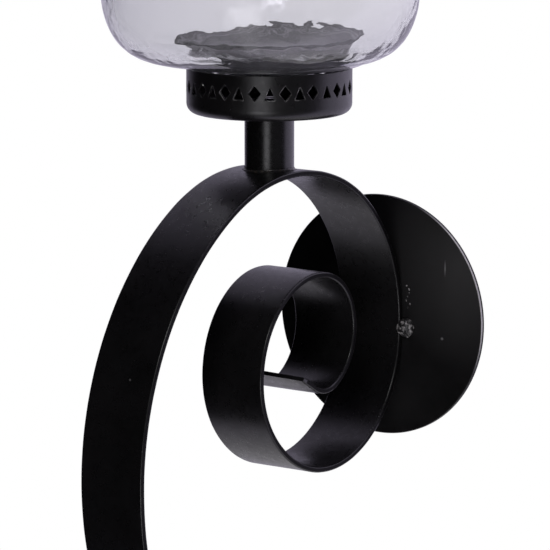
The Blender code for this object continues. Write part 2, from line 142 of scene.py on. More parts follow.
# relief of the blown glass as (height, width of one feature)
PATCHES = (0.10 * MM, 14.0 * MM)
CRINKLES = (0.18 * MM, 4.6 * MM)
CRINKLES_ASIDE = 0.12 * MM          # height that the crinkles lose on the thickest and thinnest sides
HOLLOWS = (0.45 * MM, 3.6 * MM)
HOLLOW_START = 0.22                 # level of the noise below which there is no hollow
STREAKS = (0.10 * MM, 15.0 * MM)
RINGS = (0.20 * MM, 17.0 * MM)

# Candle pan
PAN_RADIUS = (PAN_HIGH.x - PAN_LOW.x) / 2
PAN_DEPTH = PAN_HIGH.z - PAN_LOW.z
PAN_FLOOR_RADIUS = 40.0 * MM
PAN_THICKNESS = 1.2 * MM
PAN_RIM_RADIUS = 1.0 * MM


# ---------------------------------------------------------------- mesh helpers

def join_rows(mesh_data, rows, loop=False):
    """Faces between each closed row of vertices and the next; a row of one vertex is a pole."""
    pairs = list(zip(rows, rows[1:]))
    if loop:
        pairs.append((rows[-1], rows[0]))
    for low, high in pairs:
        count = max(len(low), len(high))
        for i in range(count):
            j = (i + 1) % count
            if len(low) == 1:
                mesh_data.faces.new((low[0], high[j], high[i]))
            elif len(high) == 1:
                mesh_data.faces.new((low[i], low[j], high[0]))
            else:
                mesh_data.faces.new((low[i], low[j], high[j], high[i]))


def arc_points(start, heading, radius, sweep, step):
    """Points after start along an arc that turns left for a positive sweep, as (a, b, heading)."""
    side = 1.0 if sweep > 0 else -1.0
    centre_a = start[0] - side * radius * math.sin(heading)
    centre_b = start[1] + side * radius * math.cos(heading)
    count = max(2, math.ceil(abs(math.degrees(sweep)) / step))
    points = []
    for i in range(1, count + 1):
        turn = heading + sweep * i / count
        a = centre_a + side * radius * math.sin(turn)
        b = centre_b - side * radius * math.cos(turn)
        points.append((a, b, turn))
    return points


def rounded(corners, steps=4, closed=False):
    """Outline through (a, b, radius) corners, each rounded to its own radius.

    A point just outside each rounding keeps the smooth shading of a long flat beside it flat.
    """
    points = []
    count = len(corners)
    for i, (a, b, radius) in enumerate(corners):
        here = Vector((a, b))
        is_end = not closed and i in (0, count - 1)
        if radius == 0 or is_end:
            points.append(here)
            continue
        back = (Vector(corners[i - 1][:2]) - here).normalized()
        ahead = (Vector(corners[(i + 1) % count][:2]) - here).normalized()
        half = back.angle(ahead) / 2
        centre = here + (back + ahead).normalized() * radius / math.sin(half)
        reach = radius / math.tan(half)
        first = (here + back * reach - centre).normalized()
        last = (here + ahead * reach - centre).normalized()
        arc = [centre + radius * first.slerp(last, j / steps) for j in range(steps + 1)]
        beside = min(0.35 * radius, 0.2 * MM)
        points += [arc[0] + back * beside] + arc + [arc[-1] + ahead * beside]
    return points


def turned(outline, steps, ring=False):
    """Solid of revolution about Z from (radius, height) points; ring: the outline is a loop."""
    mesh_data = bmesh.new()
    rows = []
    for radius, height in outline:
        if radius < 1e-6:
            rows.append([mesh_data.verts.new((0, 0, height))])
            continue
        row = []
        for i in range(steps):
            angle = 2 * math.pi * i / steps
            row.append(mesh_data.verts.new((radius * math.cos(angle), radius * math.sin(angle), height)))
        rows.append(row)
    join_rows(mesh_data, rows, loop=ring)
    return mesh_data, rows


def towards(azimuth, elevation):
    """Unit vector; azimuth 0 looks from the wall into the room, 90 to +X, in degrees."""
    azimuth, elevation = math.radians(azimuth), math.radians(elevation)
    flat = math.cos(elevation)
    return Vector((math.sin(azimuth) * flat, -math.cos(azimuth) * flat, math.sin(elevation)))


def waver(point, scale, seed):
    """Smooth noise from -1 to 1 with features of about that scale."""
    return noise.noise(point / scale + Vector((seed, 2.3 * seed, -1.7 * seed)))


def make_piece(name, mesh_data, material, body, stands_for, place=(0, 0, 0), sharp=40):
    """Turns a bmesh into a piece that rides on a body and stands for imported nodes."""
    bmesh.ops.recalc_face_normals(mesh_data, faces=mesh_data.faces)
    mesh_data.transform(Matrix.Translation(place))
    mesh = bpy.data.meshes.new(name)
    mesh_data.to_mesh(mesh)
    mesh_data.free()
    mesh.materials.append(material)
    mesh.shade_smooth()
    mesh.set_sharp_from_angle(angle=math.radians(sharp))
    piece = bpy.data.objects.new(name, mesh)
    bpy.context.scene.collection.objects.link(piece)
    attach(piece, body)
    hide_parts(*stands_for)


def carve(mesh_data, cutter_data, place=(0, 0, 0)):
    """The first solid less the second, as a new bmesh; place moves the cutter."""
    solids = []
    for label, data in (("carved", mesh_data), ("cutter", cutter_data)):
        bmesh.ops.recalc_face_normals(data, faces=data.faces)
        mesh = bpy.data.meshes.new(label)
        data.to_mesh(mesh)
        data.free()
        solid = bpy.data.objects.new(label, mesh)
        bpy.context.scene.collection.objects.link(solid)
        solids.append(solid)
    carved, cutter = solids
    cutter.location = place
    cut = carved.modifiers.new("cut", "BOOLEAN")
    cut.operation = "DIFFERENCE"
    cut.solver = "EXACT"
    cut.object = cutter
    bpy.context.view_layer.update()
    result = bmesh.new()
    result.from_object(carved, bpy.context.evaluated_depsgraph_get())
    for solid in solids:
        mesh = solid.data
        bpy.data.objects.remove(solid)
        bpy.data.meshes.remove(mesh)
    return result


def prism(outline, depths, scales=(1, 1)):
    """Prism of an (x, z) outline between two depths along Y, scaled at each end."""
    mesh_data = bmesh.new()
    rows = []
    for depth, scale in zip(depths, scales):
        rows.append([mesh_data.verts.new((x * scale, depth, z * scale)) for x, z in outline])
    join_rows(mesh_data, rows)
    mesh_data.faces.new(rows[0])
    mesh_data.faces.new(list(reversed(rows[1])))
    return mesh_data


# ---------------------------------------------------------------- materials

BLACK = (0.0072, 0.0068, 0.0073)
DUST = (0.10, 0.095, 0.09)
WELD_FLECK = (0.46, 0.44, 0.44)
FOOT_WELD_FLECK = (0.065, 0.052, 0.045)
PAN_GREY = (0.22, 0.214, 0.224)
SMOKE = (0.62, 0.61, 0.68)
SMOKE_DENSITY = 100.0


class Nodes:
    """Short ways to add nodes to the tree of a material or of the world."""

    def __init__(self, owner):
        owner.use_nodes = True
        self.owner = owner
        self.tree = owner.node_tree
        self.shader = self.tree.nodes.get("Principled BSDF")
        self.place = self.add("ShaderNodeTexCoord").outputs["Object"]

    def add(self, kind, **settings):
        """New node with those settings."""
        node = self.tree.nodes.new(kind)
        for key, value in settings.items():
            setattr(node, key, value)
        return node

    def link(self, source, target):
        """Wires an output into an input."""
        self.tree.links.new(source, target)

    def noise(self, scale, detail=2.0, roughness=0.5, stretch=(1, 1, 1)):
        """Noise from 0 to 1 with about scale features in a metre."""
        place = self.place
        if tuple(stretch) != (1, 1, 1):
            mapping = self.add("ShaderNodeMapping")
            mapping.inputs["Scale"].default_value = stretch
            self.link(place, mapping.inputs["Vector"])
            place = mapping.outputs["Vector"]
        texture = self.add("ShaderNodeTexNoise")
        texture.inputs["Scale"].default_value = scale
        texture.inputs["Detail"].default_value = detail
        texture.inputs["Roughness"].default_value = roughness
        self.link(place, texture.inputs["Vector"])
        return texture.outputs["Fac"]

    def spots(self, scale, size, share):
        """Small round spots: 1 inside a spot, which about that share of the cells have."""
        texture = self.add("ShaderNodeTexVoronoi")
        texture.inputs["Scale"].default_value = scale
        self.link(self.place, texture.inputs["Vector"])
        near = self.remap(texture.outputs["Distance"], size, size * 0.5, 0, 1)
        split = self.add("ShaderNodeSeparateColor")
        self.link(texture.outputs["Color"], split.inputs["Color"])
        chosen = self.math("LESS_THAN", split.outputs["Red"], share)
        return self.math("MULTIPLY", near, chosen)

    def remap(self, source, from_low, from_high, to_low, to_high, smooth=False):
        """The source carried from one range to another and clamped to it."""
        kind = "SMOOTHSTEP" if smooth else "LINEAR"
        node = self.add("ShaderNodeMapRange", interpolation_type=kind)
        for key, value in (
            ("From Min", from_low), ("From Max", from_high), ("To Min", to_low), ("To Max", to_high),
        ):
            node.inputs[key].default_value = value
        self.link(source, node.inputs["Value"])
        return node.outputs["Result"]

    def math(self, operation, first, second):
        """Result of a sum on two outputs or numbers."""
        node = self.add("ShaderNodeMath", operation=operation)
        for value, socket in ((first, node.inputs[0]), (second, node.inputs[1])):
            if isinstance(value, (int, float)):
                socket.default_value = value
            else:
                self.link(value, socket)
        return node.outputs["Value"]

    def blend(self, share, first, second):
        """Colour from first to second as share goes from 0 to 1."""
        node = self.add("ShaderNodeMix", data_type="RGBA")
        self.link(share, node.inputs["Factor"])
        for value, socket in ((first, node.inputs["A"]), (second, node.inputs["B"])):
            if isinstance(value, tuple):
                socket.default_value = (*value, 1.0)
            else:
                self.link(value, socket)
        return node.outputs["Result"]

    def near(self, centre, reach, stretch=(1, 1, 1)):
        """1 at the given place, falling evenly to 0 at the reach."""
        offset = self.add("ShaderNodeVectorMath", operation="SUBTRACT")
        self.link(self.place, offset.inputs[0])
        offset.inputs[1].default_value = centre
        scaled = self.add("ShaderNodeVectorMath", operation="DIVIDE")
        self.link(offset.outputs["Vector"], scaled.inputs[0])
        scaled.inputs[1].default_value = tuple(reach * c for c in stretch)
        length = self.add("ShaderNodeVectorMath", operation="LENGTH")
        self.link(scaled.outputs["Vector"], length.inputs[0])
        return self.remap(length.outputs["Value"], 0, 1, 1, 0)

    def edges(self, radius):
        """1 on the outer edges, fading to 0 within the radius."""
        bevel = self.add("ShaderNodeBevel", samples=4)
        bevel.inputs["Radius"].default_value = radius
        geometry = self.add("ShaderNodeNewGeometry")
        dot = self.add("ShaderNodeVectorMath", operation="DOT_PRODUCT")
        self.link(bevel.outputs["Normal"], dot.inputs[0])
        self.link(geometry.outputs["Normal"], dot.inputs[1])
        return self.remap(dot.outputs["Value"], 0.995, 0.86, 0, 1)

    def rounding(self, radius):
        """Normal of the surface with its edges rounded to that radius."""
        bevel = self.add("ShaderNodeBevel", samples=6)
        bevel.inputs["Radius"].default_value = radius
        return bevel.outputs["Normal"]

    def bumps(self, *layers, start=None):
        """Chains (height, distance) bumps into the shader's normal."""
        normal = start
        for height, distance in layers:
            bump = self.add("ShaderNodeBump")
            bump.inputs["Distance"].default_value = distance
            self.link(height, bump.inputs["Height"])
            if normal:
                self.link(normal, bump.inputs["Normal"])
            normal = bump.outputs["Normal"]
        self.link(normal, self.shader.inputs["Normal"])


def satin_paint(name, base, roughness, grain=1.0, wear=0.5, soft_edge=0.0):
    """Satin paint on hand-worked steel: mottled, faintly pebbled, dusty, rubbed lighter on its edges.

    grain scales the relief and the dust, wear the rubbing; soft_edge is the radius of its edges.
    """
    nodes = Nodes(bpy.data.materials.new(name))
    shade = nodes.noise(28, 4, 0.6)
    mottle = nodes.noise(310, 3, 0.6)
    pebble = nodes.noise(2100, 2, 0.5)
    sag = nodes.noise(75, 2, 0.5)
    dust = nodes.spots(240, 0.13, 0.07)
    dark = tuple(0.7 * c for c in base)
    light = tuple(1.5 * c for c in base)
    color = nodes.blend(nodes.remap(shade, 0.3, 0.7, 0, 1), dark, light)
    color = nodes.blend(nodes.math("MULTIPLY", dust, 0.2 * grain), color, DUST)
    rubbed = nodes.math("MULTIPLY", nodes.edges(0.9 * MM), nodes.remap(mottle, 0.35, 0.65, 0.2, 1.0))
    color = nodes.blend(nodes.math("MULTIPLY", rubbed, 0.25 * wear), color, tuple(9 * c for c in base))
    nodes.link(color, nodes.shader.inputs["Base Color"])
    rough = nodes.remap(mottle, 0.3, 0.7, roughness - 0.05, roughness + 0.06)
    rough = nodes.math("SUBTRACT", rough, nodes.math("MULTIPLY", rubbed, 0.08 * wear))
    nodes.link(rough, nodes.shader.inputs["Roughness"])
    nodes.bumps(
        (sag, 0.10 * MM * grain), (mottle, 0.012 * MM * grain), (pebble, 0.0035 * MM * grain),
        (dust, 0.008 * MM * grain), start=nodes.rounding(soft_edge) if soft_edge else None,
    )
    return nodes.owner


def dull(nodes, share):
    """Takes most of the gloss off a paint where the share is 1, as over a rough cut edge."""
    nodes.link(nodes.remap(share, 0, 1, 0.5, 0.03), nodes.shader.inputs["Specular IOR Level"])


def bar_paint():
    """The black paint, dull on the bar's sheared side edges, with two nicks in it."""
    # heavy wear: the lighter rubbed edges are partly real wear and partly painted highlight along the bar's
    # edges
    material = satin_paint("bar_paint_satin", BLACK, 0.30, grain=0.25, wear=2.5)
    nodes = Nodes(material)
    split = nodes.add("ShaderNodeSeparateXYZ")
    nodes.link(nodes.place, split.inputs["Vector"])
    across = nodes.math("ABSOLUTE", nodes.math("SUBTRACT", split.outputs["X"], ARM_X), 0)
    half = BAR_WIDTH / 2
    dull(nodes, nodes.remap(across, half - 0.10 * MM, half - 0.02 * MM, 0, 1))
    color = nodes.shader.inputs["Base Color"].links[0].from_socket
    nicks = nodes.math("MAXIMUM", nodes.near(NICK_LOW, NICK_RADIUS), nodes.near(NICK_CURL, NICK_RADIUS))
    nodes.link(nodes.blend(nicks, color, (0.20, 0.19, 0.19)), nodes.shader.inputs["Base Color"])
    return material


def cup_paint():
    """The black paint, with a painted highlight on the punched edges at the front."""
    material = satin_paint("cup_paint_satin", BLACK, 0.31, grain=0.45, soft_edge=0.5 * MM)
    nodes = Nodes(material)
    color = nodes.shader.inputs["Base Color"].links[0].from_socket
    # painted highlight: light grey on the punched edges facing the key lamp, broken up by noise
    front = STEM_AXIS + Z * (CUP_HIGH.z - PIERCED_DROP) + towards(GLINT_AZIMUTH, 0) * CUP_RADIUS
    painted_glint = nodes.remap(nodes.near(front, GLINT_REACH, (1, 1, 0.2)), 0.1, 0.4, 0, 1)
    painted_glint = nodes.math("MULTIPLY", painted_glint, nodes.remap(nodes.noise(260), 0.42, 0.58, 0, 1))
    painted_glint = nodes.math("MULTIPLY", painted_glint, nodes.edges(0.6 * MM))
    color = nodes.blend(painted_glint, color, (0.60, 0.58, 0.58))
    nodes.link(color, nodes.shader.inputs["Base Color"])
    return material


def pan_paint():
    """Flat grey paint with its rim darkened by painted shade, standing in for the shadow under the rolled
    rim.
    """
    material = satin_paint("pan_paint_grey", PAN_GREY, 0.6)
    nodes = Nodes(material)
    nodes.shader.inputs["Specular IOR Level"].default_value = 0.25
    color = nodes.shader.inputs["Base Color"].links[0].from_socket
    split = nodes.add("ShaderNodeSeparateXYZ")
    nodes.link(nodes.place, split.inputs["Vector"])
    across = nodes.math("SUBTRACT", split.outputs["X"], STEM_AXIS.x)
    along = nodes.math("SUBTRACT", split.outputs["Y"], STEM_AXIS.y)
    across_squared = nodes.math("MULTIPLY", across, across)
    along_squared = nodes.math("MULTIPLY", along, along)
    reach_squared = nodes.math("ADD", across_squared, along_squared)
    # painted shade: the rim darkened towards its edge
    rim = nodes.remap(reach_squared, (PAN_RADIUS - 1.6 * MM) ** 2, (PAN_RADIUS - 0.6 * MM) ** 2, 0, 0.9)
    color = nodes.blend(rim, color, (0.02, 0.02, 0.02))
    nodes.link(color, nodes.shader.inputs["Base Color"])
    return material


def plate_paint():
    """The black paint with a painted sheen, a painted highlight on the rim, a nick and a scratch at the
    plate's right.
    """
    material = satin_paint("plate_paint_satin", BLACK, 0.36, grain=0.5)
    nodes = Nodes(material)
    color = nodes.shader.inputs["Base Color"].links[0].from_socket
    # painted sheen: the paint made lighter towards the upper right, standing in for light falling there,
    # broken up by streaks
    streaks = nodes.noise(34, 4, 0.6, stretch=(1, 1, 0.35))
    painted_sheen = nodes.near(PAINTED_SHEEN, PAINTED_SHEEN_REACH)
    painted_sheen = nodes.math("MULTIPLY", painted_sheen, nodes.remap(streaks, 0.25, 0.75, 0.7, 1.0))
    color = nodes.blend(painted_sheen, color, (0.066, 0.064, 0.065))
    length = nodes.add("ShaderNodeVectorMath", operation="LENGTH")
    nodes.link(nodes.place, length.inputs[0])
    split = nodes.add("ShaderNodeSeparateXYZ")
    nodes.link(nodes.place, split.inputs["Vector"])
    side = nodes.remap(split.outputs["Y"], PLATE_FACE_Y + 0.45 * MM, PLATE_FACE_Y + 0.75 * MM, 0, 1)
    dull(nodes, side)
    # painted highlight: a near-white line along the rim's edge at the upper right, where the rim catches
    # light
    rim = nodes.remap(length.outputs["Value"], PLATE_RADIUS - 0.55 * MM, PLATE_RADIUS - 0.3 * MM, 0, 1)
    painted_glint = nodes.remap(nodes.near(RIM_HIGHLIGHT, RIM_HIGHLIGHT_REACH), 0, 0.5, 0, 1)
    rim = nodes.math("MULTIPLY", nodes.math("SUBTRACT", rim, side), painted_glint)
    color = nodes.blend(rim, color, (0.75, 0.73, 0.75))
    nick = nodes.near(PLATE_NICK, 1.1 * MM)
    scratch = nodes.near(PLATE_SCRATCH, 5 * MM, (0.12, 1, 1))
    marks = nodes.math("MULTIPLY", nodes.math("MAXIMUM", nick, scratch), 0.8)
    color = nodes.blend(marks, color, (0.35, 0.34, 0.35))
    nodes.link(color, nodes.shader.inputs["Base Color"])
    return material


def weld_paint(name, fleck_color):
    """Paint over a weld: glossier, with ripples and flecks where the metal shows."""
    nodes = Nodes(bpy.data.materials.new(name))
    ripple = nodes.noise(900, 3, 0.6)
    fleck = nodes.noise(420, 2, 0.5)
    color = nodes.blend(nodes.remap(fleck, 0.48, 0.62, 0, 1), (0.02, 0.019, 0.02), fleck_color)
    nodes.link(color, nodes.shader.inputs["Base Color"])
    nodes.link(nodes.remap(fleck, 0.4, 0.6, 0.38, 0.22), nodes.shader.inputs["Roughness"])
    nodes.bumps((ripple, 0.12 * MM))
    return nodes.owner


def smoke_glass():
    """Clear blown glass with a grey tint all through it."""
    nodes = Nodes(bpy.data.materials.new("smoke_glass_blown"))
    shader = nodes.shader
    shader.inputs["Base Color"].default_value = (1, 1, 1, 1)
    shader.inputs["Roughness"].default_value = 0.0
    shader.inputs["IOR"].default_value = 1.5
    shader.inputs["Transmission Weight"].default_value = 0.965     # the rest is a milky haze
    skin = nodes.noise(160, 2, 0.5)
    nodes.bumps((skin, 0.05 * MM))
    tint = nodes.add("ShaderNodeVolumeAbsorption")
    tint.inputs["Color"].default_value = (*SMOKE, 1)
    tint.inputs["Density"].default_value = SMOKE_DENSITY
    output = nodes.tree.nodes["Material Output"]
    nodes.link(tint.outputs["Volume"], output.inputs["Volume"])
    return nodes.owner


def bright_metal(name, color, roughness):
    """Plated or turned steel with fine tool marks and a few dull patches."""
    nodes = Nodes(bpy.data.materials.new(name))
    patch = nodes.noise(160, 3, 0.6)
    marks = nodes.noise(1500, 2, 0.6, stretch=(1, 1, 4))
    darker = tuple(0.72 * c for c in color)
    shade = nodes.blend(nodes.remap(patch, 0.35, 0.7, 0, 1), color, darker)
    nodes.link(shade, nodes.shader.inputs["Base Color"])
    nodes.shader.inputs["Metallic"].default_value = 1.0
    rough = nodes.remap(patch, 0.3, 0.7, roughness, roughness + 0.16)
    nodes.link(rough, nodes.shader.inputs["Roughness"])
    nodes.bumps((marks, 0.006 * MM))
    return nodes.owner


# ---------------------------------------------------------------- wall plate

def keyhole_outline():
    """Entry hole below, narrow slot above, as (x, z) points about the entry hole's centre."""
    half_mouth = math.asin(KEYHOLE_SLOT_RADIUS / KEYHOLE_ENTRY_RADIUS)
    outline = []
    for i in range(41):
        angle = math.pi / 2 + half_mouth + (2 * math.pi - 2 * half_mouth) * i / 40
        outline.append((KEYHOLE_ENTRY_RADIUS * math.cos(angle), KEYHOLE_ENTRY_RADIUS * math.sin(angle)))
    for i in range(21):
        angle = math.pi * i / 20
        z = KEYHOLE_SLOT_RUN + KEYHOLE_SLOT_RADIUS * math.sin(angle)
        outline.append((KEYHOLE_SLOT_RADIUS * math.cos(angle), z))
    return outline


def make_plate(material):
    """Disc with eased edges and two keyholes, one above the other behind the arm."""
    thickness = PLATE_HIGH.y - PLATE_LOW.y
    outline = rounded([
        (0, 0, 0), (PLATE_RADIUS, 0, PLATE_EDGE), (PLATE_RADIUS, thickness, PLATE_EDGE), (0, thickness, 0),
    ])
    disc, _ = turned(outline, 240)
    disc.transform(Matrix.Rotation(math.pi / 2, 4, "X"))
    for side in (-1, 1):
        keyhole = prism(keyhole_outline(), (-4 * thickness, 4 * thickness))
        disc = carve(disc, keyhole, (ARM_X, 0, side * KEYHOLE_SPREAD / 2))
    make_piece("plate_disc", disc, material, "sconce", ["wall_plate"])


# ---------------------------------------------------------------- scroll arm

def bar_path():
    """Centreline of the rolled bar as (y, z, heading), from the curl's end to past the wall."""
    step = 1.5                          # degrees from one section to the next
    inward = [(TOUCH_Y, TOUCH_Z, -math.pi / 2)]
    for radius, sweep in ARCS_INWARD:
        y, z, heading = inward[-1]
        inward += arc_points((y, z), heading, radius * MM, -math.radians(sweep), step)
    y, z, heading = inward[-1]
    for i in range(1, 5):
        run = CURL_END * i / 4
        inward.append((y + run * math.cos(heading), z + run * math.sin(heading), heading))
    upward = [(TOUCH_Y, TOUCH_Z, math.pi / 2)]
    for radius, sweep in ARCS_UPWARD:
        y, z, heading = upward[-1]
        upward += arc_points((y, z), heading, radius * MM, math.radians(sweep), step)
    y, z, heading = upward[-1]
    centre_y = y - TAIL_RADIUS * math.sin(heading)
    wall_heading = math.asin(-centre_y / TAIL_RADIUS)
    overrun = BAR_THICKNESS / TAIL_RADIUS
    sweep = wall_heading + 2 * math.pi - heading + overrun
    upward += arc_points((y, z), heading, TAIL_RADIUS, sweep, step)
    backward = [(y, z, heading + math.pi) for y, z, heading in reversed(inward[1:])]
    return backward + upward


def bar_section():
    """The bar's section with rounded edges as (across, through) points, spaced across its faces."""
    a = BAR_WIDTH / 2
    b = BAR_THICKNESS / 2
    corners = [(a, b, BAR_EDGE), (-a, b, BAR_EDGE), (-a, -b, BAR_EDGE), (a, -b, BAR_EDGE)]
    outline = rounded(corners, 3, closed=True)
    section = []
    for here, ahead in zip(outline, outline[1:] + outline[:1]):
        spans = BAR_SPANS if (ahead - here).length > BAR_WIDTH / 2 else 1
        section += [here.lerp(ahead, i / spans) for i in range(spans)]
    return section


def make_bar(material):
    """The section swept along the path, slightly uneven from hand rolling and trimmed at the wall."""
    mesh_data = bmesh.new()
    section = bar_section()
    rows = []
    for index, (y, z, heading) in enumerate(bar_path()):
        out = Vector((0, math.sin(heading), -math.cos(heading)))
        middle = Vector((ARM_X, y, z))
        inset = BAR_EDGE * 0.5 if index == 0 else 0
        row = []
        for across, through in section:
            across -= math.copysign(inset, across)
            through -= math.copysign(inset, through)
            place = middle + X * across + out * through
            if index == 0:
                onward = Vector((0, math.cos(heading), math.sin(heading)))
                place += onward * CURL_END_SKEW * (across / BAR_WIDTH - 0.5)
            wobble = ROLLING_WOBBLE * waver(middle + X * across, 30 * MM, 3)
            wobble += 0.4 * ROLLING_WOBBLE * waver(middle + X * across, 9 * MM, 8)
            row.append(mesh_data.verts.new(place + out * wobble))
        rows.append(row)
    join_rows(mesh_data, rows)
    mesh_data.faces.new(rows[0])
    mesh_data.faces.new(list(reversed(rows[-1])))
    everything = mesh_data.verts[:] + mesh_data.edges[:] + mesh_data.faces[:]
    trimmed = bmesh.ops.bisect_plane(
        mesh_data, geom=everything, plane_co=(0, 0, 0), plane_no=Y, clear_outer=True
    )
    rim = [item for item in trimmed["geom_cut"] if isinstance(item, bmesh.types.BMEdge)]
    bmesh.ops.holes_fill(mesh_data, edges=rim, sides=len(rim))
    make_piece("scroll_bar", mesh_data, material, "sconce", ["scroll_arm"])


def crest_circle():
    """Radius and centre (y, z) of the arm's outer face at its crest."""
    radius, sweep = ARCS_UPWARD[0]
    y, z, heading = arc_points((TOUCH_Y, TOUCH_Z), math.pi / 2, radius * MM, math.radians(sweep), 6)[-1]
    radius = ARCS_UPWARD[1][0] * MM
    return radius + BAR_THICKNESS / 2, y - radius * math.sin(heading), z + radius * math.cos(heading)


def crest_height(y):
    """Height of the arm's outer face under the stem."""
    radius, centre_y, centre_z = crest_circle()
    return centre_z + math.sqrt(radius * radius - (y - centre_y) ** 2)


# ---------------------------------------------------------------- stem and its weld

def make_stem(material):
    """Tube whose foot is coped onto the arm."""
    inner = STEM_RADIUS - STEM_WALL
    edge = 0.3 * MM
    top = STEM_HIGH.z
    foot = crest_height(STEM_AXIS.y) - 3 * MM
    outline = rounded([
        (inner, foot, 0), (STEM_RADIUS, foot, 0), (STEM_RADIUS, top, edge), (inner, top, edge),
    ], closed=True)
    tube, _ = turned(outline, 144, ring=True)
    tube.transform(Matrix.Translation(STEM_AXIS))
    for vertex in tube.verts:
        if vertex.co.z < foot + edge:
            vertex.co.z = crest_height(vertex.co.y) - 0.05 * MM
    make_piece("stem_pipe", tube, material, "sconce", ["stem_tube"])


def make_foot_weld(material):
    """Thin uneven fillet of weld round the stem's foot."""
    mesh_data = bmesh.new()
    rows = []
    steps = 180
    for i in range(steps):
        angle = 2 * math.pi * i / steps
        out = Vector((math.cos(angle), math.sin(angle), 0))
        beside = STEM_AXIS + out * STEM_RADIUS
        size = FOOT_WELD * (1 + 0.35 * waver(beside, 3.2 * MM, 5) + 0.25 * waver(beside, 9 * MM, 6))
        row = []
        for turn in range(0, 91, 15):
            hollow = math.radians(turn)
            reach = size * (1 - 0.82 * math.sin(hollow))
            rise = size * (1 - 0.82 * math.cos(hollow))
            place = beside + out * reach
            row.append(mesh_data.verts.new((place.x, place.y, crest_height(place.y) + rise)))
        for reach in (-0.4 * MM, size):
            place = beside + out * reach
            row.append(mesh_data.verts.new((place.x, place.y, crest_height(place.y) - 0.3 * MM)))
        rows.append(row)
    join_rows(mesh_data, rows, loop=True)
    make_piece("foot_weld", mesh_data, material, "sconce", ["stem_weld"], sharp=60)


# ---------------------------------------------------------------- gallery cup

def piercing(index):
    """Diamond or upright triangle with rounded corners, about the band's middle."""
    corner = 0.35 * MM
    if index % 2 == 0:
        width, height = DIAMOND_SIZE
        corners = [(0, -height / 2), (width / 2, 0), (0, height / 2), (-width / 2, 0)]
    else:
        width, height = TRIANGLE_SIZE
        corners = [(-width / 2, -height / 2), (width / 2, -height / 2), (0, height / 2)]
    return rounded([(x, z, corner) for x, z in corners], 3, closed=True)


def make_cup(material):
    """Pressed cup with a band of punched shapes that are wider outside than in."""
    lip = 0.45 * MM
    inner = CUP_RADIUS - CUP_WALL
    outline = rounded([
        (CUP_HOLE_RADIUS, 0, 0.3 * MM), (CUP_RADIUS, 0, CUP_CORNER), (CUP_RADIUS, CUP_HEIGHT, lip),
        (inner, CUP_HEIGHT, lip), (inner, CUP_WALL, CUP_CORNER - CUP_WALL),
        (CUP_HOLE_RADIUS, CUP_WALL, 0.3 * MM),
    ], 8, closed=True)
    cup, _ = turned(outline, 16 * PIERCED_PAIRS, ring=True)
    cutters = bmesh.new()
    for index in range(2 * PIERCED_PAIRS):
        shape = prism(piercing(index), (-2.5 * CUP_WALL, 2.5 * CUP_WALL), (0.76, 1.12))
        drift = PUNCH_DRIFT * waver(Vector((index, 0, 0)), 1.7, 7)
        shape.transform(Matrix.Rotation(math.radians(4 * drift), 4, "Y"))
        turn = math.radians(PIERCED_TURN + drift + 180 * index / PIERCED_PAIRS) - math.pi / 2
        spin = Matrix.Rotation(turn, 4, "Z")
        shape.transform(spin @ Matrix.Translation((0, CUP_RADIUS - CUP_WALL / 2, 0)))
        mesh = bpy.data.meshes.new("piercing")
        shape.to_mesh(mesh)
        shape.free()
        cutters.from_mesh(mesh)
        bpy.data.meshes.remove(mesh)
    cup = carve(cup, cutters, (0, 0, CUP_HEIGHT - PIERCED_DROP))
    place = STEM_AXIS + Z * CUP_LOW.z
    make_piece("pierced_cup", cup, material, "sconce", ["gallery_cup"], place, 35)


# ---------------------------------------------------------------- glass globe

def globe_profile():
    """Outer profile as (radius, height, heading) above the lowest point of the domed base."""
    points = [(0.0, 0.0, 0.0)]
    for radius, sweep in GLOBE_ARCS:
        r, z, heading = points[-1]
        step = min(2.5, math.degrees(GLOBE_ROW / (radius * MM)))
        points += arc_points((r, z), heading, radius * MM, math.radians(sweep), step)
    return points


def globe_outline():
    """Outline of the glass, up the outside, over the lip and down the inside.

    The second value is how many of its points lie on the outside and the lip.
    """
    outer = globe_profile()
    outline = [Vector((r, z)) for r, z, _ in outer]
    lip_r, lip_z, heading = outer[-1]
    half = GLASS_WALL / 2
    across = Vector((-math.sin(heading), math.cos(heading)))
    along = Vector((math.cos(heading), math.sin(heading)))
    lip = Vector((lip_r, lip_z)) + across * half
    for i in range(1, 8):
        angle = math.pi * i / 8
        outline.append(lip - across * half * math.cos(angle) + along * half * math.sin(angle))
    outer_count = len(outline)
    for r, z, heading in reversed(outer):
        share = min(1.0, max(0.0, math.sin(heading)))
        wall = GLASS_FLOOR + (GLASS_WALL - GLASS_FLOOR) * share
        outline.append(Vector((max(0.0, r - wall * math.sin(heading)), z + wall * math.cos(heading))))
    return outline, outer_count


def smooth_step(value, low, high):
    """0 below low, 1 above high and an S-shaped rise between."""
    share = min(1.0, max(0.0, (value - low) / (high - low)))
    return share * share * (3 - 2 * share)


def relief(size, place, seed):
    """Smooth relief with the given (height, width of one feature)."""
    height, width = size
    return height * waver(place, width, seed)


